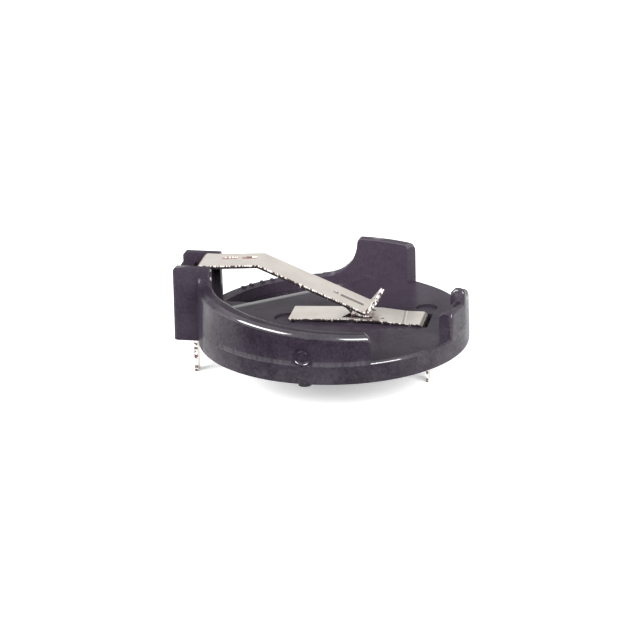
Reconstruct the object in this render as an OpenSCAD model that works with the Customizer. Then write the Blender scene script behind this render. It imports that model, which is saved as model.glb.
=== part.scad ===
// Coin cell holder for one 20 mm cell, with board pins.
// A round moulded housing carries two folded metal contacts: a sprung arm that
// presses on top of the cell and a strip that lies on the floor under it.
// Origin: centre of the cell circle on the board face. +X runs from the tower
// along the arm, +Z points away from the board.

/* [Cell seat] */
// Radius of the bore that holds the cell
bore_r = 10.25; // [8:0.05:13]
// Thickness of the round wall
wall = 1.25; // [0.8:0.05:2]
// Height of the floor above the board
floor_z = 1.78; // [1.4:0.02:2.6]
// Radius on the outer edge of the floor where there is no wall
floor_edge_r = 0.28; // [0.1:0.02:0.4]
// Lean of the outer wall surface over its height, in mm per mm
wall_draft = 0.008; // [0:0.002:0.03]

/* [Walls] */
// Height of the front wall beside the tower
front_high_z = 5.05; // [4:0.05:6]
// Height of the front wall at its free end
front_low_z = 4.05; // [3:0.05:5]
// Angle at which the front wall starts to slope down
front_slope_from = 222; // [205:1:240]
// Angle of the free end of the front wall
front_end = 295.4; // [260:0.2:310]
// Radius of the sweep from the front wall up to the tower
front_sweep_r = 1.1; // [0.6:0.05:1.4]
// Height of the tall back tab
back_z = 5.3; // [4:0.05:6.2]
// Angle of the plain end of the back tab
back_end = 61.3; // [50:0.2:75]
// Angle at which the back tab reaches its full height
back_tall_to = 88.2; // [80:0.2:100]
// Radius of the sweep from the back tab down to the floor
back_sweep_r = 3.35; // [2:0.05:3.45]
// Distance of the right tab's front end from the centre line
tab_front = 4.0; // [3:0.05:5]
// Distance of the right tab's back end from the centre line
tab_back = 2.2; // [1.8:0.05:3]
// Height of the right tab's shoulders
tab_shoulder_z = 4.15; // [3.6:0.05:4.5]
// Height of the right tab's finger
tab_z = 5.2; // [4.8:0.05:6]
// Place of the finger's front face, from the centre line towards the front
finger_front = 1.3; // [0.8:0.05:1.8]
// Thickness of the finger, measured round the wall
finger_t = 0.6; // [0.5:0.05:1]
// Radius of the sweep in front of the finger
finger_front_r = 0.45; // [0.3:0.05:0.7]
// Radius of the sweep behind the finger
finger_back_r = 1.3; // [0.8:0.05:1.45]
// Width of the sloped lead-in on the shoulders
shoulder_lead = 0.72; // [0.4:0.02:0.75]
// Width of the sloped lead-in on the finger
finger_lead = 0.4; // [0.2:0.02:0.6]
// Rounding of the walls' outer top edge
top_outer_r = 0.5; // [0.2:0.05:0.6]
// Rounding of the walls' inner top edge
top_inner_r = 0.15; // [0.05:0.01:0.3]
// Rounding of the walls' free top corners
end_r = 0.35; // [0.2:0.05:0.6]

/* [Push-out pocket] */
// Distance of the pocket's straight edge from the centre
pocket_edge = 6.95; // [6:0.05:8]
// Direction that the pocket faces
pocket_dir = 130; // [120:1:140]
// Depth of the pocket below the floor
pocket_depth = 0.9; // [0.5:0.05:1.1]
// Length of the ramp down into the pocket
pocket_ramp = 2.25; // [1.2:0.05:2.4]

/* [Tower] */
// Thickness of the tower's wall behind the positive pin
tower_back = 1.2; // [0.8:0.05:2]
// Place of the tower's inner end, from the centre
tower_end_x = 10.08; // [9.95:0.01:10.15]
// Width of the tower
tower_w = 5.2; // [4.8:0.05:6]
// Height of the tower
tower_z = 6.4; // [6:0.05:7.5]
// Depth of the slot in the tower's top
tower_slot_depth = 0.3; // [0.3:0.01:0.6]
// Depth of the recess between the tower's two cheeks, back from the bore's radius
tower_recess = 0.35; // [0.2:0.05:0.4]
// Depth of the notch behind the arm's root
tower_notch = 0.8; // [0.5:0.05:1.2]
// Chamfer on the tower's edges
tower_chamfer = 0.22; // [0.1:0.02:0.35]

/* [Contacts] */
// Thickness of the arm's sheet
sheet = 0.3; // [0.2:0.01:0.4]
// Thickness of the floor strip's sheet
strip_sheet = 0.2; // [0.15:0.01:0.3]
// Width of both contact strips
strip_w = 3.2; // [2.4:0.05:3.4]
// Width of the solder pins
pin_w = 0.9; // [0.6:0.05:1.2]
// Length of the pins below the board face
pin_len = 3.6; // [2.5:0.05:5]
// Clearance between a contact and the plastic round it
fit_gap = 0.1; // [0.05:0.01:0.15]
// Inside radius of the contacts' bends
bend_r = 0.2; // [0.1:0.02:0.3]

/* [Arm] */
// Distance between the two pins
pin_pitch = 20; // [19.6:0.1:20.4]
// Place of the arm's leg, from the centre
arm_leg_x = 11.35; // [11.3:0.05:11.6]
// Length of the arm's level part, from its leg
arm_flat_len = 1.2; // [0.8:0.05:1.6]
// Place of the bend where the arm starts to fall
arm_bend_x = -6.15; // [-8:0.05:-5]
// Rise of the arm's top from the tower to that bend
arm_rise = 0.26; // [0:0.01:0.5]
// Place of the arm's lowest point
arm_tip_x = 2.97; // [1:0.05:4]
// Height of the arm's lowest point above the floor
arm_tip_gap = 0.75; // [0.3:0.01:2]
// Length of the raised lip beyond the lowest point
lip_len = 1.6; // [0.8:0.05:2.5]
// Angle of the lip above level
lip_angle = 50; // [30:1:60]

/* [Floor strip] */
// Left end of the floor strip
floor_strip_x0 = -3.6; // [-6:0.05:-2]
// Place of the floor strip's leg, where it goes down through the floor
floor_leg_x = 7.75; // [7.5:0.05:7.8]
// Place of the negative pin
neg_pin_x = 8.05; // [8:0.05:8.4]
// Rise of the floor strip's raised middle
strip_rise = 0.2; // [0.1:0.01:0.3]
// Place where the floor strip comes back down to the floor
strip_crease_x = 6.1; // [5:0.05:6.8]
// Left end of the spring tongue's window
tongue_x0 = 0.85; // [0:0.05:2]
// Right end of the window, where the tongue is rooted
tongue_x1 = 3.5; // [3:0.05:4]
// Width of the spring tongue
tongue_w = 1.5; // [0.8:0.05:1.8]
// Depth of the groove pressed into the arm, and of the rib it makes underneath
groove_depth = 0.12; // [0.05:0.01:0.2]
// Length of the pressed groove
groove_len = 2.1; // [1:0.1:3]
// Radius of the pressed groove's round section
groove_r = 0.5; // [0.3:0.05:0.8]
// Length of each of the two dents in the arm's root
dent_len = 1.45; // [0.8:0.05:1.6]
// Rise of the tongue's free end above the strip
tongue_rise = 0.25; // [0.1:0.01:0.3]

/* [Small features] */
// Diameter of the locating peg
peg_d = 1.1; // [0.8:0.05:1.6]
// Length of the locating peg
peg_len = 1.0; // [0.5:0.05:1.5]
// Distance of the locating peg from the centre
peg_r = 9.05; // [7:0.05:10]
// Angle of the locating peg and the gate mark
peg_angle = 264.6; // [240:0.2:280]
// Radius of the gate mark's dish
gate_r = 0.8; // [0.4:0.05:1]
// Height of the gate mark's centre
gate_z = 2.3; // [1.5:0.05:2.6]
// Depth of the gate mark's dish
gate_depth = 0.12; // [0.05:0.01:0.3]
// Radius of the round recess beside the floor strip's leg
recess_r = 0.92; // [0.6:0.02:1.1]
// Radius of the round recess under the floor strip's free end
low_recess_r = 1.2; // [0.6:0.05:1.3]
// Depth of the two round recesses
recess_depth = 0.16; // [0.1:0.01:0.4]
// Offset of the right recess from the centre line, towards the back
recess_y = 3.18; // [2.8:0.02:4]
// Height of the small ribs on the rim behind the pocket
rib_h = 0.13; // [0.05:0.01:0.2]

/* [Hidden] */
outer_r = bore_r + wall;
round_fn = 96;
wall_fn = 5;
wall_step = 2.5;
wall_inset = 0.01;
wall_root_z = floor_z - 0.6;
bore_trim = 0.08;
over = 1;
arm_w = strip_w;
pos_pin_x = pin_pitch - neg_pin_x;
tower_x = pos_pin_x + sheet / 2 + tower_back;
arm_z = tower_z - tower_slot_depth + sheet / 2 + fit_gap / 5;
tip_z = floor_z + arm_tip_gap + sheet / 2;
arm_flat_x = -arm_leg_x + arm_flat_len;
slot_half = arm_w / 2 + fit_gap;
tower_slot_z = tower_z - tower_slot_depth;
tower_front = asin(tower_w / 2 / outer_r) + 180;

// Rounds the last stretch of a wall, s mm from its free end
function end_drop(s) = s >= end_r ? 0 : end_r - sqrt(max(0, end_r * end_r - pow(end_r - max(s, 0), 2)));

// Rise of a concave sweep of radius r and height h, s mm from its steep end
function sweep_rise(s, r, h) = s >= r ? 0 : min(h, r - sqrt(max(0, r * r - pow(r - max(s, 0), 2))));

// Arc length on the outer wall between two angles
function arc_len(a0, a1) = abs(a1 - a0) * PI / 180 * outer_r;
function arc_angle(len) = len * 180 / PI / outer_r;

// Top height of each wall at angle a
function front_top(a) =
    front_high_z
    - (front_high_z - front_low_z) * max(0, a - front_slope_from) / (front_end - front_slope_from)
    + sweep_rise(arc_len(a, tower_front), front_sweep_r, tower_z - front_high_z - tower_chamfer)
    - end_drop(arc_len(a, front_end));
function back_top(a) =
    a <= back_tall_to
    ? back_z - end_drop(arc_len(a, back_end)) - end_drop(arc_len(a, back_tall_to))
    : floor_z + sweep_rise(arc_len(a, back_tall_to), back_sweep_r, back_z - floor_z - end_r);
// Share of the finger, from 0 on the shoulders to 1 on the finger, at place y
function finger_share(y) =
    let (front = -finger_front - y, back = y + finger_front - finger_t, h = tab_z - tab_shoulder_z - end_r)
    front > 0
    ? sweep_rise(front, finger_front_r, h) / (tab_z - tab_shoulder_z)
    : back > 0
    ? sweep_rise(back, finger_back_r, h) / (tab_z - tab_shoulder_z)
    : 1 - (end_drop(-front) + end_drop(-back)) / (tab_z - tab_shoulder_z);
function tab_top(y) =
    tab_shoulder_z + (tab_z - tab_shoulder_z) * finger_share(y)
    - end_drop(y + tab_front) - end_drop(tab_back - y);
function tab_lead(y) =
    let (lead = shoulder_lead + (finger_lead - shoulder_lead) * finger_share(y))
    min(lead, end_r + max(0, min(y + tab_front, tab_back - y)) / 2);

// Section of a wall whose top is at z: points [radius, height], outer side first.
// lead is the width of a sloped lead-in on its inner side, or 0 for a small round.
function wall_section(z, lead) =
    let (h = max(z - floor_z, 0.02),
         ro = min(top_outer_r, h * 0.9),
         ri = (lead > 0 ? lead : min(top_inner_r, h * 0.3)) + bore_trim,
         drop = lead > 0 ? [0.02, 0.5, 1] : [0, 1 - sqrt(0.5), 1],
         r_out = outer_r - wall_inset - wall_draft * h)
    concat(
        [[outer_r - wall_inset, wall_root_z]],
        [for (i = [0 : wall_fn]) let (t = 90 * i / wall_fn) [r_out - ro + ro * cos(t), z - ro + ro * sin(t)]],
        [for (i = [0 : 2]) let (in = lead > 0 ? i / 2 : sin(45 * i))
            [bore_r - bore_trim + ri * (1 - in), z - ri * drop[i]]],
        [[bore_r - bore_trim, wall_root_z]]);

// A wall through the given angles, with its top at the matching heights
module wall_sweep(angles, tops, leads) {
    n = wall_fn + 6;
    m = len(angles);
    points = [for (k = [0 : m - 1]) for (p = wall_section(tops[k], leads ? leads[k] : 0))
        [p[0] * cos(angles[k]), p[0] * sin(angles[k]), p[1]]];
    sides = [for (k = [0 : m - 2]) for (i = [0 : n - 1])
        let (j = (i + 1) % n) each [
            [k * n + i, (k + 1) * n + j, (k + 1) * n + i],
            [k * n + i, k * n + j, (k + 1) * n + j]]];
    ends = [[for (i = [n - 1 : -1 : 0]) i], [for (i = [0 : n - 1]) (m - 1) * n + i]];
    polyhedron(points = points, faces = concat(sides, ends), convexity = 6);
}

// Angles from a0 to a1, close together near both ends
function spread(a0, a1, fine) = let (
    lead = arc_angle(fine),
    inner = ceil((a1 - a0 - 2 * lead) / wall_step))
    concat(
        [for (i = [0 : 5]) a0 + lead * (1 - cos(15 * i))],
        [for (i = [0 : inner]) a0 + lead + (a1 - a0 - 2 * lead) * i / inner],
        [for (i = [5 : -1 : 0]) a1 - lead * (1 - cos(15 * i))]);

module front_wall() {
    foot = arc_angle(front_sweep_r);
    rise = [for (i = [0 : 11]) tower_front + foot * (1 - cos(7.5 * i))];
    angles = concat([tower_front - 1], rise, spread(tower_front + foot, front_end, end_r));
    wall_sweep(angles, [for (a = angles) front_top(max(a, tower_front))]);
}

module back_tab() {
    tall = spread(back_end, back_tall_to, end_r);
    foot = arc_angle(back_sweep_r);
    fall = [for (i = [1 : 12]) back_tall_to + foot * (1 - cos(7.5 * i))];
    angles = concat(tall, fall);
    wall_sweep(angles, [for (a = angles) back_top(a)]);
}

module right_tab() {
    front = -finger_front;
    back = front + finger_t;
    ends = [-tab_front, front - finger_front_r, back + finger_back_r, tab_back];
    places = concat(
        [for (i = [0 : 3]) -tab_front + end_r * (1 - cos(30 * i)) - (i == 0 ? over / 10 : 0)],
        [for (i = [1 : 3]) ends[0] + end_r + (ends[1] - ends[0] - end_r) * i / 3],
        [for (i = [1 : 8]) front - finger_front_r * cos(90 * i / 8)],
        [for (i = [1 : 7]) front + finger_t / 2 * (1 - cos(22.5 * i))],
        [for (i = [0 : 7]) back + finger_back_r * (1 - cos(90 * i / 8))],
        [for (i = [0 : 2]) ends[2] + (ends[3] - end_r - ends[2]) * i / 2],
        [for (i = [1 : 3]) tab_back - end_r * (1 - sin(30 * i)) + (i == 3 ? over / 10 : 0)]);
    angles = [for (y = places) asin(y / outer_r)];
    intersection() {
        wall_sweep(angles, [for (y = places) tab_top(y)], [for (y = places) tab_lead(y)]);
        translate([0, -tab_front, 0]) cube([outer_r + over, tab_front + tab_back, tower_z + over]);
    }
}

// The round base with a rounded top edge
module base_disc() {
    rotate_extrude($fn = round_fn) {
        square([outer_r - floor_edge_r, floor_z]);
        square([outer_r, floor_z - floor_edge_r]);
        translate([outer_r - floor_edge_r, floor_z - floor_edge_r]) circle(r = floor_edge_r, $fn = 32);
    }
}

// Pocket beside the back wall: pressing the cell down here tips it out
module push_out_pocket() {
    deep = floor_z - pocket_depth;
    far = bore_r + over;
    intersection() {
        translate([0, 0, deep]) cylinder(r = bore_r - wall_inset, h = pocket_depth + over, $fn = round_fn);
        rotate([0, 0, pocket_dir]) translate([0, far, 0]) rotate([90, 0, 0])
            linear_extrude(height = 2 * far)
            polygon([
                [pocket_edge - pocket_ramp / pocket_depth * over, floor_z + over],
                [pocket_edge + pocket_ramp, deep],
                [far, deep],
                [far, floor_z + over]]);
        translate([-tower_x, tower_w / 2, 0]) cube([2 * tower_x, far, tower_z]);
    }
}

// The tower that holds the arm's root, with chamfered edges
module tower_body() {
    c = tower_chamfer;
    half = tower_w / 2;
    inner_x = -tower_end_x;
    intersection() {
        translate([-tower_x, half, 0]) rotate([90, 0, 0]) linear_extrude(height = tower_w)
            polygon([
                [0, 0], [0, tower_z - c], [c, tower_z],
                [tower_x + inner_x, tower_z], [tower_x + inner_x, 0]]);
        translate([-tower_x, 0, 0]) rotate([90, 0, 90]) linear_extrude(height = tower_x + inner_x)
            polygon([
                [-half, 0], [-half, tower_z - c], [-half + c, tower_z],
                [half - c, tower_z], [half, tower_z - c], [half, 0]]);
        linear_extrude(height = tower_z)
            polygon([
                [-tower_x + c, -half], [inner_x, -half], [inner_x, half],
                [-tower_x + c, half], [-tower_x, half - c], [-tower_x, -half + c]]);
    }
}

// What the tower loses: the recess between its cheeks, the arm's slot, and the
// leg's slot with the hole for the pin
module tower_cuts() {
    leg_in = -arm_leg_x + sheet / 2 + fit_gap;
    pin_out = -pos_pin_x - sheet / 2 - fit_gap;
    turn = bend_r + fit_gap / 2;
    translate([0, 0, floor_z]) cylinder(r = bore_r, h = tower_z, $fn = round_fn);
    translate([-bore_r - tower_recess, -slot_half, floor_z])
        cube([tower_recess + over, 2 * slot_half, tower_z]);
    translate([-tower_x - over, -slot_half, tower_slot_z]) cube([tower_x, 2 * slot_half, over]);
    translate([-tower_x - over, -slot_half, tower_z - tower_notch])
        cube([pin_out + tower_x + 2 * over, 2 * slot_half, tower_z]);
    translate([pin_out, -slot_half, floor_z + over])
        cube([leg_in - pin_out, 2 * slot_half, tower_z]);
    translate([pin_out, -slot_half, tower_slot_z - turn])
        cube([leg_in + turn - pin_out, 2 * slot_half, tower_z]);
    translate([pin_out, -pin_w / 2 - fit_gap, -over])
        cube([sheet + 2 * fit_gap, pin_w + 2 * fit_gap, tower_z]);
}

// Round dish on the outer wall with a raised ring, left by the moulding gate
module gate_mark() {
    rotate([0, 0, peg_angle + 2.4]) translate([outer_r, 0, gate_z]) rotate([0, 90, 0]) {
        rotate_extrude($fn = 48) translate([gate_r * 0.72, 0]) circle(r = gate_depth * 1.4, $fn = 20);
        translate([0, 0, -gate_depth / 2]) cylinder(r = gate_r, h = over, $fn = 48);
    }
}

// Small ribs on the rim behind the pocket
module rim_ribs() {
    for (a = [129.3, 134.6, 140.7, 145.5])
        rotate([0, 0, a]) translate([outer_r - 0.75, -0.12, floor_z - rib_h])
            cube([0.42, 0.24, 2 * rib_h]);
}

module housing() {
    color([0.09, 0.085, 0.095]) {
        difference() {
            union() {
                base_disc();
                tower_body();
                front_wall();
                back_tab();
                right_tab();
                rim_ribs();
                rotate([0, 0, peg_angle]) translate([peg_r, 0, -peg_len])
                    cylinder(d = peg_d, h = peg_len + floor_z / 2, $fn = 48);
            }
            tower_cuts();
            push_out_pocket();
            gate_mark();
            translate([floor_strip_x0 - 0.15, -0.75, floor_z - recess_depth])
                cylinder(r = low_recess_r, h = over, $fn = 48);
            translate([floor_leg_x - 0.25, recess_y, floor_z - recess_depth])
                cylinder(r = recess_r, h = over, $fn = 48);
            translate([floor_leg_x - strip_sheet / 2 - bend_r - fit_gap, -slot_half, -over])
                cube([neg_pin_x - floor_leg_x + strip_sheet + bend_r + 2 * fit_gap, 2 * slot_half, 3 * over]);
        }
    }
}

// Outline of a bent strip: a path of [x, z] corners, offset by half the sheet's
// thickness to both sides, with every corner bent round bend_r
function unit(v) = v / norm(v);
function normal_of(v) = [-v[1], v[0]];
function turn_at(a, b, c) = let (u = unit(b - a), v = unit(c - b)) atan2(u[0] * v[1] - u[1] * v[0], u * v);
function bend_points(path, side, thick) = [
    for (i = [0 : len(path) - 1])
        let (n = len(path))
        if (i == 0) path[0] + side * thick / 2 * normal_of(unit(path[1] - path[0]))
        else if (i == n - 1) path[i] + side * thick / 2 * normal_of(unit(path[i] - path[i - 1]))
        else
            let (u = unit(path[i] - path[i - 1]),
                 v = unit(path[i + 1] - path[i]),
                 t = turn_at(path[i - 1], path[i], path[i + 1]),
                 r = bend_r + thick / 2,
                 start = path[i] - u * r * tan(abs(t) / 2),
                 mid = start + sign(t) * r * normal_of(u),
                 steps = max(2, ceil(abs(t) / 9)))
            each [for (k = [0 : steps])
                let (w = t * k / steps,
                     out = -sign(t) * normal_of(u),
                     d = [out[0] * cos(w) - out[1] * sin(w), out[0] * sin(w) + out[1] * cos(w)])
                mid + d * (r - sign(t) * side * thick / 2)]];
module bent_strip(path, width, thick) {
    left = bend_points(path, 1, thick);
    right = bend_points(path, -1, thick);
    rotate([90, 0, 0]) translate([0, 0, -width / 2]) linear_extrude(height = width)
        polygon(concat(left, [for (i = [len(right) - 1 : -1 : 0]) right[i]]));
}

// Places things on the arm's falling part: -X runs back up it from its lowest
// point, and +Z is square to its top face
module on_arm_slope() {
    fall = atan2(arm_z + arm_rise - tip_z, arm_tip_x - arm_bend_x);
    translate([arm_tip_x, 0, tip_z]) rotate([0, fall, 0]) translate([0, 0, sheet / 2]) children();
}

// Bar with a round underside, as deep below the sheet's face at height z as the
// groove: cut from the top face it makes the groove, added below it makes the rib
module groove_bar(z) {
    on_arm_slope() intersection() {
        translate([-groove_len - 0.45, 0, z - groove_depth + groove_r]) rotate([0, 90, 0])
            cylinder(r = groove_r, h = groove_len, $fn = 48);
        translate([-groove_len - 0.45, -groove_r, z - groove_depth])
            cube([groove_len, 2 * groove_r, groove_depth + sheet / 2]);
    }
}

// A long dent with round ends, from x on the arm's rising root
module root_dent(x) {
    r = 0.3;
    rise = atan2(arm_rise, arm_bend_x - arm_flat_x);
    translate([arm_flat_x, 0.4, arm_z]) rotate([0, -rise, 0]) translate([x, 0, sheet / 2 - 0.08]) {
        translate([r, -r, 0]) cube([dent_len - 2 * r, 2 * r, over]);
        for (end = [r, dent_len - r]) translate([end, 0, 0]) cylinder(r = r, h = over, $fn = 32);
    }
}

module positive_contact() {
    leg_x = -arm_leg_x;
    jog = pos_pin_x - arm_leg_x;
    path = [
        [-pos_pin_x, -pin_len],
        [-pos_pin_x, floor_z + over + bend_r],
        [leg_x, floor_z + over + bend_r + 1.2 * jog],
        [leg_x, arm_z],
        [arm_flat_x, arm_z],
        [arm_bend_x, arm_z + arm_rise],
        [arm_tip_x, tip_z],
        [arm_tip_x + lip_len * cos(lip_angle), tip_z + lip_len * sin(lip_angle)]];
    color([0.80, 0.79, 0.76]) {
        difference() {
            bent_strip(path, arm_w, sheet);
            for (side = [-1, 1])
                translate([-pos_pin_x - over, side * pin_w / 2 - (side < 0 ? arm_w : 0), -2 * pin_len])
                    cube([2 * over, arm_w, 2 * pin_len + floor_z + over + fit_gap]);
            root_dent(arm_bend_x - arm_flat_x - 2 * dent_len - 0.55);
            root_dent(arm_bend_x - arm_flat_x - dent_len - 0.25);
            translate([arm_flat_x + 2, arm_w / 2 - 0.12, arm_z - sheet]) cube([0.3, over, 3 * sheet]);
            on_arm_slope() translate([-groove_len - 0.9, 0, -0.08]) cylinder(r = 0.24, h = over, $fn = 32);
            groove_bar(0);
        }
        groove_bar(-sheet);
    }
}

module negative_contact() {
    mid_z = floor_z + strip_sheet / 2 + fit_gap / 5;
    jog = neg_pin_x - floor_leg_x;
    crown_z = mid_z + strip_rise;
    half = strip_w / 2;
    color([0.80, 0.79, 0.76]) {
        difference() {
            bent_strip([
                [floor_strip_x0, mid_z], [tongue_x0 + 0.5, crown_z], [tongue_x1 + 0.5, crown_z],
                [strip_crease_x, mid_z], [floor_leg_x, mid_z], [floor_leg_x, floor_z / 2 + jog],
                [neg_pin_x, floor_z / 2 - jog], [neg_pin_x, -pin_len]], strip_w, strip_sheet);
            translate([0, 0, floor_z - over / 2]) linear_extrude(height = 2 * over)
                polygon([
                    [tongue_x0, -half + 0.4], [tongue_x1, -half + 0.4], [tongue_x1, half - 0.4],
                    [tongue_x0, half - 0.4], [tongue_x0 + 0.6, 0]]);
            for (side = [-1, 1])
                translate([neg_pin_x - over, side * (over + pin_w / 2) - over, -2 * pin_len])
                    cube([2 * over, 2 * over, 2 * pin_len + fit_gap]);
            translate([tongue_x1 + 0.85, -0.9, 0]) cylinder(d = 0.3, h = 2 * floor_z, $fn = 24);
        }
        bent_strip([
            [tongue_x1 + 0.4, crown_z], [tongue_x1 - 0.2, crown_z],
            [tongue_x0 + 1.3, crown_z + tongue_rise], [tongue_x0 + 0.8, crown_z + tongue_rise - 0.12]],
            tongue_w, strip_sheet);
    }
}

housing();
positive_contact();
negative_contact();
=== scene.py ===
"""Looks of the coin cell holder: black moulded nylon, plated contacts, white studio."""
import math

import bpy
from mathutils import Matrix, Vector


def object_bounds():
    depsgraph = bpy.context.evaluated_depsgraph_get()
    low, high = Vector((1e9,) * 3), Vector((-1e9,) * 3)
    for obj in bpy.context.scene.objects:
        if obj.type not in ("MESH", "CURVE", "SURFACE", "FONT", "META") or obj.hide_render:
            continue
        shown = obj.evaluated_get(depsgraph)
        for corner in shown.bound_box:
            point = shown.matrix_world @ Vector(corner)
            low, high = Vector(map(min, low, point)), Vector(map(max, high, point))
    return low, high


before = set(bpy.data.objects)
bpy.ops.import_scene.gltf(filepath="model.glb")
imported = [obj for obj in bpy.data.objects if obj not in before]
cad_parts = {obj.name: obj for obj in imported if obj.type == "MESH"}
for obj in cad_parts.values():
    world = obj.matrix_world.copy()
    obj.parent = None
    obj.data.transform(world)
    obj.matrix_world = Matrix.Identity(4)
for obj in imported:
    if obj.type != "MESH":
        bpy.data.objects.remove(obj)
cad_low, cad_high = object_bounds()
MM = 0.001
scene = bpy.context.scene


# ---------------------------------------------------------------- node helpers
class Shader:
    """A material whose nodes are made and joined by short calls."""

    def __init__(self, name):
        self.material = bpy.data.materials.new(name)
        self.material.use_nodes = True
        self.tree = self.material.node_tree
        self.bsdf = self.tree.nodes["Principled BSDF"]

    def add(self, kind, **values):
        node = self.tree.nodes.new("ShaderNode" + kind)
        for key, value in values.items():
            if hasattr(node, key):
                setattr(node, key, value)
            else:
                node.inputs[key.replace("_", " ").title()].default_value = value
        return node

    def link(self, source, target):
        self.tree.links.new(source, target)

    def place(self, scale=(1, 1, 1)):
        """Object-space coordinates in millimetres, stretched by scale."""
        coords = self.add("TexCoord")
        mapping = self.add("Mapping")
        mapping.inputs["Scale"].default_value = [s / MM for s in scale]
        self.link(coords.outputs["Object"], mapping.inputs["Vector"])
        return mapping.outputs["Vector"]

    def noise(self, where, scale, detail=4.0, roughness=0.55):
        node = self.add("TexNoise", scale=scale, detail=detail, roughness=roughness)
        self.link(where, node.inputs["Vector"])
        return node.outputs["Fac"]

    def ramp(self, value, low, high, to_low=0.0, to_high=1.0):
        """value from low..high to to_low..to_high, held at both ends."""
        node = self.add("MapRange")
        for key, number in zip(("From Min", "From Max", "To Min", "To Max"), (low, high, to_low, to_high)):
            node.inputs[key].default_value = number
        self.link(value, node.inputs["Value"])
        return node.outputs["Result"]

    def math(self, operation, a, b):
        node = self.add("Math", operation=operation)
        for socket, value in zip(node.inputs, (a, b)):
            if isinstance(value, (int, float)):
                socket.default_value = value
            else:
                self.link(value, socket)
        return node.outputs["Value"]

    def mix_colour(self, factor, a, b):
        node = self.add("Mix", data_type="RGBA")
        self.link(factor, node.inputs["Factor"])
        for socket, value in zip((node.inputs[6], node.inputs[7]), (a, b)):
            if isinstance(value, tuple):
                socket.default_value = (*value, 1)
            else:
                self.link(value, socket)
        return node.outputs[2]

    def bump(self, height, strength, distance, normal=None):
        node = self.add("Bump")
        node.inputs["Strength"].default_value = strength
        node.inputs["Distance"].default_value = distance
        self.link(height, node.inputs["Height"])
        if normal is not None:
            self.link(normal, node.inputs["Normal"])
        return node.outputs["Normal"]

    def set(self, **values):
        for key, value in values.items():
            socket = self.bsdf.inputs[key.replace("_", " ")]
            if isinstance(value, (int, float)):
                socket.default_value = value
            else:
                self.link(value, socket)


# ------------------------------------------------------------------- materials
LEVEL = (0.97, 0.99)  # range of |normal Z| in which a face begins to count as level
SLIT_X, SLIT_Y = -6.75, 0.95  # middle of the dark slit, in millimetres
GATE_BAND = (1.9, 3.3)  # heights between which the gate mark stands on the wall
TOWER_X = -10.2  # the tower lies to the left of this
BRINK_TURN = -130  # degrees that turn the back left, where the floor's brink shines, onto +X


def nylon_colour(s, fine, cloud, rise, spot):
    """Violet black with an uneven tone; painted light makes it paler towards the back and on level faces,
    and one short slit is painted near black as shade.
    """
    x, y = spot.outputs["X"], spot.outputs["Y"]
    # Paler towards the back and on level faces is painted light; cloud and fine give the nylon's own
    # uneven tone.
    tone_and_painted_light = s.math("ADD", s.ramp(y, -11.0, 11.0, 0.0, 0.8), s.ramp(cloud, 0.3, 0.7, 0.0, 0.3))
    tone_and_painted_light = s.math("ADD", tone_and_painted_light, s.ramp(rise, *LEVEL, 0.0, 0.10))
    tone_and_painted_light = s.math("ADD", tone_and_painted_light, s.ramp(fine, 0.35, 0.65, -0.11, 0.11))
    colour = s.mix_colour(tone_and_painted_light, (0.0085, 0.0058, 0.0106), (0.0400, 0.0305, 0.0440))
    # The near-black slit on level faces is painted shade, standing for the dark inside of a slit.
    along = s.math("ABSOLUTE", s.math("SUBTRACT", x, SLIT_X), 0.0)
    beside = s.math("ABSOLUTE", s.math("SUBTRACT", y, SLIT_Y), 0.0)
    slit = s.math("MULTIPLY", s.ramp(along, 0.28, 0.34, 1.0, 0.0), s.ramp(beside, 0.06, 0.12, 1.0, 0.0))
    slit = s.math("MULTIPLY", slit, s.ramp(rise, *LEVEL))
    return s.mix_colour(slit, colour, (0.002, 0.002, 0.002))


def nylon_polish(s, where, gate, rise, spot):
    """Shine of the rounded edges, less at both ends and by the gate, and of the floor's brink."""
    x = spot.outputs["X"]
    polish = s.math("MULTIPLY", s.ramp(rise, 0.08, 0.25), s.ramp(rise, 0.985, 0.94))
    polish = s.math("MULTIPLY", polish, s.ramp(x, 8.0, 9.5, 1.0, 0.3))
    polish = s.math("MULTIPLY", polish, s.ramp(x, -8.8, -7.8, 0.1, 1.0))
    polish = s.math("MULTIPLY", polish, s.ramp(gate, 0.0, 1.0, 1.0, 0.03))
    turned = s.add("VectorRotate", rotation_type="Z_AXIS")
    turned.inputs["Angle"].default_value = math.radians(BRINK_TURN)
    s.link(where, turned.inputs["Vector"])
    towards = s.add("SeparateXYZ")
    s.link(turned.outputs["Vector"], towards.inputs["Vector"])
    reach = towards.outputs["X"]
    brink = s.math("MULTIPLY", s.ramp(reach, 6.25, 6.6), s.ramp(rise, 0.985, 0.995))
    return s.math("MAXIMUM", polish, s.math("MULTIPLY", brink, s.ramp(reach, 7.0, 6.95)))


def nylon_gloss(s, fine, cloud, gate, rise, spot):
    """Satin coat: most at the left and right sides, at the walls' foot and on sloped faces."""
    x, z = spot.outputs["X"], spot.outputs["Z"]
    gloss = s.ramp(s.math("ADD", fine, cloud), 0.8, 1.2, 0.13, 0.32)
    tower_edge = (TOWER_X - 0.1, TOWER_X + 0.1)
    across = s.math("ABSOLUTE", x, 0.0)
    sides = s.ramp(across, 5.0, 9.0, 0.15, 1.3)
    sides = s.math("MULTIPLY", sides, s.ramp(x, *tower_edge, 0.1, 1.0))
    foot = s.math("MULTIPLY", s.ramp(z, 0.6, 2.8, 0.8, 0.0), s.ramp(x, *tower_edge))
    sloped = s.math("MULTIPLY", s.ramp(rise, 0.1, 0.25), s.ramp(x, -8.8, -8.0, 0.1, 1.0))
    sloped = s.math("MULTIPLY", sloped, s.ramp(gate, 0.0, 1.0, 1.0, 0.3))
    amount = s.math("MAXIMUM", s.math("MAXIMUM", sides, foot), sloped)
    return s.math("MULTIPLY", s.math("MULTIPLY", gloss, amount), s.ramp(rise, *LEVEL, 1.0, 0.35))


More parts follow.
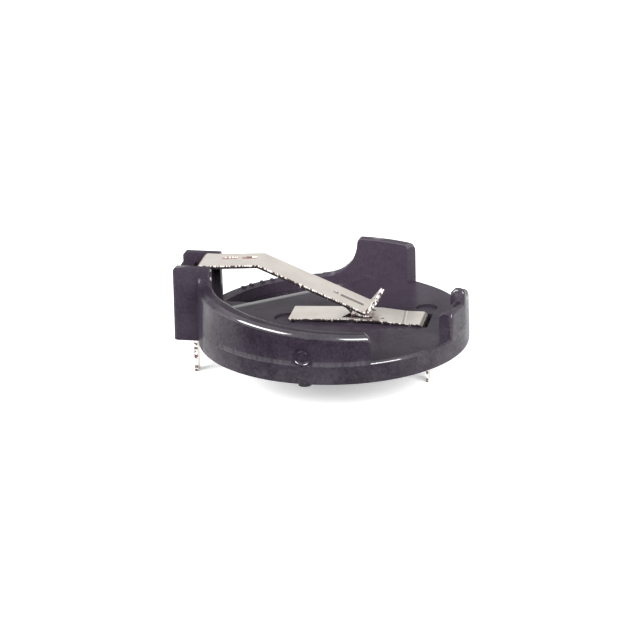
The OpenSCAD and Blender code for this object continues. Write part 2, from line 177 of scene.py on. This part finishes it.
def black_nylon():
    """Moulded nylon: near-black with a violet cast, satin, with faint flow marks."""
    s = Shader("black_nylon")
    where = s.place()
    fine = s.noise(where, 4.2, detail=6.0)
    cloud = s.noise(where, 0.35, detail=3.0)
    flow = s.noise(s.place((0.25, 0.25, 1.6)), 0.9, detail=4.0)
    facing, spot = s.add("SeparateXYZ"), s.add("SeparateXYZ")
    s.link(s.add("TexCoord").outputs["Normal"], facing.inputs["Vector"])
    s.link(where, spot.inputs["Vector"])
    # 0 on upright faces, 1 on level ones, so what lies between is sloped or rounded.
    rise = s.math("ABSOLUTE", facing.outputs["Z"], 0.0)
    z, (gate_low, gate_high) = spot.outputs["Z"], GATE_BAND
    gate = s.math("MULTIPLY", s.ramp(z, gate_low, gate_low + 0.1), s.ramp(z, gate_high, gate_high - 0.2))
    polish = nylon_polish(s, where, gate, rise, spot)
    gloss = nylon_gloss(s, fine, cloud, gate, rise, spot)
    roughness = s.math("ADD", s.ramp(flow, 0.3, 0.7, 0.36, 0.46), s.ramp(fine, 0.3, 0.7, -0.03, 0.04))
    normal = s.bump(fine, 0.6, 0.03 * MM)
    normal = s.bump(flow, 0.25, 0.03 * MM, normal)
    s.set(Base_Color=nylon_colour(s, fine, cloud, rise, spot), Roughness=roughness, Normal=normal)
    s.set(IOR=1.45, Specular_IOR_Level=0.04, Coat_Roughness=0.13, Coat_IOR=1.7)
    s.set(Coat_Weight=s.math("ADD", gloss, s.math("MULTIPLY", polish, 0.85)))
    return s.material


def plated_sheet(name, half, middle, painted_lines=None):
    """Nickel-plated spring sheet: bright faces with rolling lines, painted shade in its dents and grooves,
    and ragged cut edges speckled with painted glints and shade.

    half is half the sheet; middle(shader, x) gives the height of the sheet's middle, which
    parts each cut edge into painted glints above and painted shade below; the last argument, if given,
    paints lines of light and shade on the faces."""
    s = Shader(name)
    where = s.place()
    rolled = s.noise(s.place((0.12, 3.0, 0.6)), 2.4, detail=5.0)
    stain = s.noise(where, 0.55, detail=4.0)
    tear = s.noise(s.place((1.0, 0.4, 0.3)), 5.6, detail=3.0, roughness=0.7)
    spot, facing = s.add("SeparateXYZ"), s.add("SeparateXYZ")
    s.link(where, spot.inputs["Vector"])
    s.link(s.add("TexCoord").outputs["Normal"], facing.inputs["Vector"])
    x, y, z = (spot.outputs[axis] for axis in "XYZ")
    above = s.math("SUBTRACT", z, middle(s, x))
    cut = s.ramp(s.math("ABSOLUTE", facing.outputs["Y"], 0.0), 0.75, 0.9)
    face = s.mix_colour(s.ramp(stain, 0.35, 0.7), (0.70, 0.655, 0.605), (0.61, 0.565, 0.515))
    # Top faces sunk below the sheet's face, its dents and grooves, take painted shade, brownish towards
    # the left; they are also made rougher.
    sunk = s.ramp(above, half - 0.05, half - 0.01, 1.0, 0.0)
    sunk = s.math("MULTIPLY", sunk, s.ramp(facing.outputs["Z"], 0.4, 0.7))
    hollow_shade = s.mix_colour(s.ramp(x, -6.0, -4.0), (0.36, 0.25, 0.21), (0.22, 0.19, 0.18))
    face = s.mix_colour(sunk, face, hollow_shade)
    # Where given, lines of painted light and shade go on the faces.
    if painted_lines:
        face = painted_lines(s, face, x, y)
    # Cut edges: the ragged pattern is the edge's own grain; its near-white specks are painted glints and
    # its near-black lower half is painted shade.
    glint_beads = s.mix_colour(s.ramp(tear, 0.47, 0.54), (0.08, 0.042, 0.040), (0.95, 0.90, 0.86))
    burr_shade = s.mix_colour(s.ramp(tear, 0.60, 0.66), (0.012, 0.008, 0.009), (0.55, 0.45, 0.42))
    torn_glint_and_shade = s.mix_colour(s.ramp(above, 0.03, 0.06), burr_shade, glint_beads)
    # The pins' ribbed bands are their sheared grain, painted near white and dark brown as glints and
    # shade.
    ribs = s.noise(s.place((1.2, 1.2, 2.4)), 1.6, detail=3.0)
    pin = s.mix_colour(s.ramp(ribs, 0.46, 0.56), (0.10, 0.055, 0.050), (0.90, 0.85, 0.80))
    torn_glint_and_shade = s.mix_colour(s.ramp(z, 0.0, 0.1, 1.0, 0.0), torn_glint_and_shade, pin)
    # The upturned lip takes the speckled near-white colour of the cut edges: a painted highlight.
    lip = s.math("MULTIPLY", s.ramp(x, 3.0, 3.1), s.ramp(above, 0.8, 1.0))
    colour = s.mix_colour(cut, s.mix_colour(lip, face, glint_beads), torn_glint_and_shade)
    cut = s.math("MAXIMUM", cut, lip)
    smooth = s.math("ADD", s.ramp(rolled, 0.3, 0.7, 0.24, 0.34), s.ramp(stain, 0.4, 0.7, 0.0, 0.08))
    roughness = s.math("ADD", smooth, s.math("MULTIPLY", s.math("MAXIMUM", cut, sunk), 0.2))
    normal = s.bump(rolled, 0.25, 0.008 * MM)
    height = s.math("MULTIPLY", tear, cut)
    normal = s.bump(height, 0.9, 0.10 * MM, normal)
    s.set(Base_Color=colour, Roughness=roughness, Normal=normal)
    s.set(Metallic=s.ramp(cut, 0.0, 1.0, 1.0, 0.5))
    return s.material


def line(s, x, start, end):
    """Height at x of the straight line through two (x, z) points."""
    slope = (end[1] - start[1]) / (end[0] - start[0])
    return s.math("ADD", s.math("MULTIPLY", x, slope), start[1] - slope * start[0])


ARM_ROOT, ARM_BEND, ARM_TIP = (-10.2, 6.27), (-6.15, 6.53), (2.97, 2.68)
STRIP_LOW, STRIP_HIGH = 1.90, 2.10


def arm_middle(s, x):
    """Level root, then the slope down to the lip."""
    return s.math("MINIMUM", line(s, x, ARM_ROOT, ARM_BEND), line(s, x, ARM_BEND, ARM_TIP))


def strip_middle(s, x):
    """A low end, a climb, the high level part and the fall back to the low end."""
    climb = line(s, x, (-3.6, STRIP_LOW), (1.35, STRIP_HIGH))
    fall = line(s, x, (4.0, STRIP_HIGH), (6.1, STRIP_LOW))
    top = s.math("MINIMUM", climb, STRIP_HIGH)
    return s.math("MAXIMUM", s.math("MINIMUM", top, fall), STRIP_LOW)


def strip_painted_lines(s, face, x, y):
    """A dark line of painted shade and, just beyond it, a light line of painted highlight, across the
    strip near x = 6.1, where its fall ends.
    """
    across = s.math("ADD", x, s.math("MULTIPLY", y, 0.085))
    dark = s.ramp(s.math("ABSOLUTE", s.math("SUBTRACT", across, 6.05), 0.0), 0.02, 0.09, 0.75, 0.0)
    light = s.ramp(s.math("ABSOLUTE", s.math("SUBTRACT", across, 6.22), 0.0), 0.01, 0.07, 0.7, 0.0)
    face = s.mix_colour(dark, face, (0.26, 0.21, 0.19))
    return s.mix_colour(light, face, (0.93, 0.90, 0.86))


NYLON = black_nylon()
ARM_PLATE = plated_sheet("arm_plate", 0.15, arm_middle)
STRIP_PLATE = plated_sheet("strip_plate", 0.10, strip_middle, strip_painted_lines)


def paint(node, material):
    """Puts the material in every slot of a CAD node."""
    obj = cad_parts[node]
    if not obj.data.materials:
        obj.data.materials.append(material)
    for slot in obj.material_slots:
        slot.material = material


def smooth_by_angle(limit):
    """Node group that joins split corners and shades edges flatter than limit smoothly."""
    group = bpy.data.node_groups.new("smooth_by_angle", "GeometryNodeTree")
    group.is_modifier = True
    group.interface.new_socket("Geometry", in_out="INPUT", socket_type="NodeSocketGeometry")
    group.interface.new_socket("Geometry", in_out="OUTPUT", socket_type="NodeSocketGeometry")
    start = group.nodes.new("NodeGroupInput")
    end = group.nodes.new("NodeGroupOutput")
    weld = group.nodes.new("GeometryNodeMergeByDistance")
    weld.inputs["Distance"].default_value = 0.0005 * MM
    plain = group.nodes.new("GeometryNodeRemoveAttribute")
    plain.inputs["Name"].default_value = "custom_normal"
    angle = group.nodes.new("GeometryNodeInputMeshEdgeAngle")
    steep = group.nodes.new("FunctionNodeCompare")
    steep.operation = "GREATER_THAN"
    steep.inputs[1].default_value = math.radians(limit)
    faces = group.nodes.new("GeometryNodeSetShadeSmooth")
    edges = group.nodes.new("GeometryNodeSetShadeSmooth")
    edges.domain = "EDGE"
    edges.inputs["Shade Smooth"].default_value = False
    links = group.links
    links.new(start.outputs[0], weld.inputs["Geometry"])
    links.new(weld.outputs["Geometry"], plain.inputs["Geometry"])
    links.new(plain.outputs["Geometry"], faces.inputs["Geometry"])
    links.new(faces.outputs["Geometry"], edges.inputs["Geometry"])
    links.new(angle.outputs["Unsigned Angle"], steep.inputs[0])
    links.new(steep.outputs["Result"], edges.inputs["Selection"])
    links.new(edges.outputs["Geometry"], end.inputs[0])
    return group


SMOOTH = smooth_by_angle(28)
for cad_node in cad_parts.values():
    cad_node.modifiers.new("smooth", "NODES").node_group = SMOOTH
    even = cad_node.modifiers.new("even", "WEIGHTED_NORMAL")
    even.mode = "FACE_AREA_WITH_ANGLE"
    even.keep_sharp = True

paint("housing", NYLON)
paint("positive_contact", ARM_PLATE)
paint("negative_contact", STRIP_PLATE)


# ----------------------------------------------------------------------- stage
def seen_rays(tree):
    """1 for camera, glossy and transmitted rays, 0 for the rest."""
    path = tree.nodes.new("ShaderNodeLightPath")
    seen = path.outputs["Is Camera Ray"]
    for kind in ("Is Glossy Ray", "Is Transmission Ray"):
        either = tree.nodes.new("ShaderNodeMath")
        either.operation = "MAXIMUM"
        tree.links.new(seen, either.inputs[0])
        tree.links.new(path.outputs[kind], either.inputs[1])
        seen = either.outputs[0]
    return seen


def lifted_white(name, colour, strength):
    """A diffuse colour, to which a glow of the given strength is added where it is seen."""
    material = bpy.data.materials.new(name)
    material.use_nodes = True
    tree = material.node_tree
    tree.nodes.clear()
    out = tree.nodes.new("ShaderNodeOutputMaterial")
    diffuse = tree.nodes.new("ShaderNodeBsdfDiffuse")
    diffuse.inputs["Color"].default_value = (*colour, 1)
    glow = tree.nodes.new("ShaderNodeEmission")
    glow.inputs["Strength"].default_value = strength
    lift = tree.nodes.new("ShaderNodeAddShader")
    pick = tree.nodes.new("ShaderNodeMixShader")
    tree.links.new(diffuse.outputs[0], lift.inputs[0])
    tree.links.new(glow.outputs[0], lift.inputs[1])
    tree.links.new(seen_rays(tree), pick.inputs[0])
    tree.links.new(diffuse.outputs[0], pick.inputs[1])
    tree.links.new(lift.outputs[0], pick.inputs[2])
    tree.links.new(pick.outputs[0], out.inputs["Surface"])
    return material


def flat_plane(name, size, z, material):
    mesh = bpy.data.meshes.new(name)
    h = size / 2
    mesh.from_pydata([(-h, -h, z), (h, -h, z), (h, h, z), (-h, h, z)], [], [(0, 1, 2, 3)])
    mesh.materials.append(material)
    obj = bpy.data.objects.new(name, mesh)
    scene.collection.objects.link(obj)


FLOOR_SIZE = 3.0
pin_tip = cad_low.z
flat_plane("floor", FLOOR_SIZE, pin_tip, lifted_white("floor_white", (0.80, 0.80, 0.80), 0.45))


def studio_world(plain, shown):
    """White all round, of strength shown where it is seen and plain for all other light."""
    world = bpy.data.worlds.new("studio")
    scene.world = world
    world.use_nodes = True
    tree = world.node_tree
    background = tree.nodes["Background"]
    background.inputs["Color"].default_value = (1, 1, 1, 1)
    level = tree.nodes.new("ShaderNodeMapRange")
    level.inputs["To Min"].default_value = plain
    level.inputs["To Max"].default_value = shown
    tree.links.new(seen_rays(tree), level.inputs["Value"])
    tree.links.new(level.outputs["Result"], background.inputs["Strength"])


studio_world(0.3, 1.0)


def softbox(name, place, aim, size, power):
    """A rectangular area lamp facing aim, placed and sized in millimetres."""
    lamp = bpy.data.lights.new(name, "AREA")
    lamp.shape = "RECTANGLE"
    lamp.size, lamp.size_y = (side * MM for side in size)
    lamp.energy = power
    obj = bpy.data.objects.new(name, lamp)
    obj.location = Vector(place) * MM
    obj.rotation_mode = "QUATERNION"
    obj.rotation_quaternion = (Vector(aim) * MM - obj.location).to_track_quat("-Z", "Y")
    scene.collection.objects.link(obj)


PANEL_SIZE = (230, 110)
PANEL_AIM = (0, 0, 2)
PANEL_POWER = 1.6

# Two panels, left and right of the camera, draw the highlights on the walls' rounded tops.
softbox("left_panel", (-200, -162, 155), PANEL_AIM, PANEL_SIZE, PANEL_POWER)
softbox("right_panel", (182, -182, 155), PANEL_AIM, PANEL_SIZE, PANEL_POWER)


# ---------------------------------------------------------------------- camera
CAMERA_AZIMUTH = 10.641
CAMERA_ELEVATION = 20.034
CAMERA_ROLL = -1.119
CAMERA_DISTANCE = 290.4
SIDE_SHIFT = -1.184
UP_SHIFT = 1.377
LENS_MM = 192.3


def aim_camera():
    a, e, r = (math.radians(v) for v in (CAMERA_AZIMUTH, CAMERA_ELEVATION, CAMERA_ROLL))
    back = Vector((math.sin(a) * math.cos(e), -math.cos(a) * math.cos(e), math.sin(e)))
    level = Vector((math.cos(a), math.sin(a), 0))
    rise = back.cross(level)
    right = level * math.cos(r) + rise * math.sin(r)
    up = rise * math.cos(r) - level * math.sin(r)
    data = bpy.data.cameras.new("camera")
    data.sensor_width = 36.0
    data.lens = LENS_MM
    data.clip_start, data.clip_end = 0.005, 10.0
    obj = bpy.data.objects.new("camera", data)
    eye = (back * CAMERA_DISTANCE + right * SIDE_SHIFT + up * UP_SHIFT) * MM
    turn = Matrix((right, up, back)).transposed().to_4x4()
    obj.matrix_world = Matrix.Translation(eye) @ turn
    scene.collection.objects.link(obj)
    scene.camera = obj


aim_camera()
scene.view_settings.view_transform = "Standard"
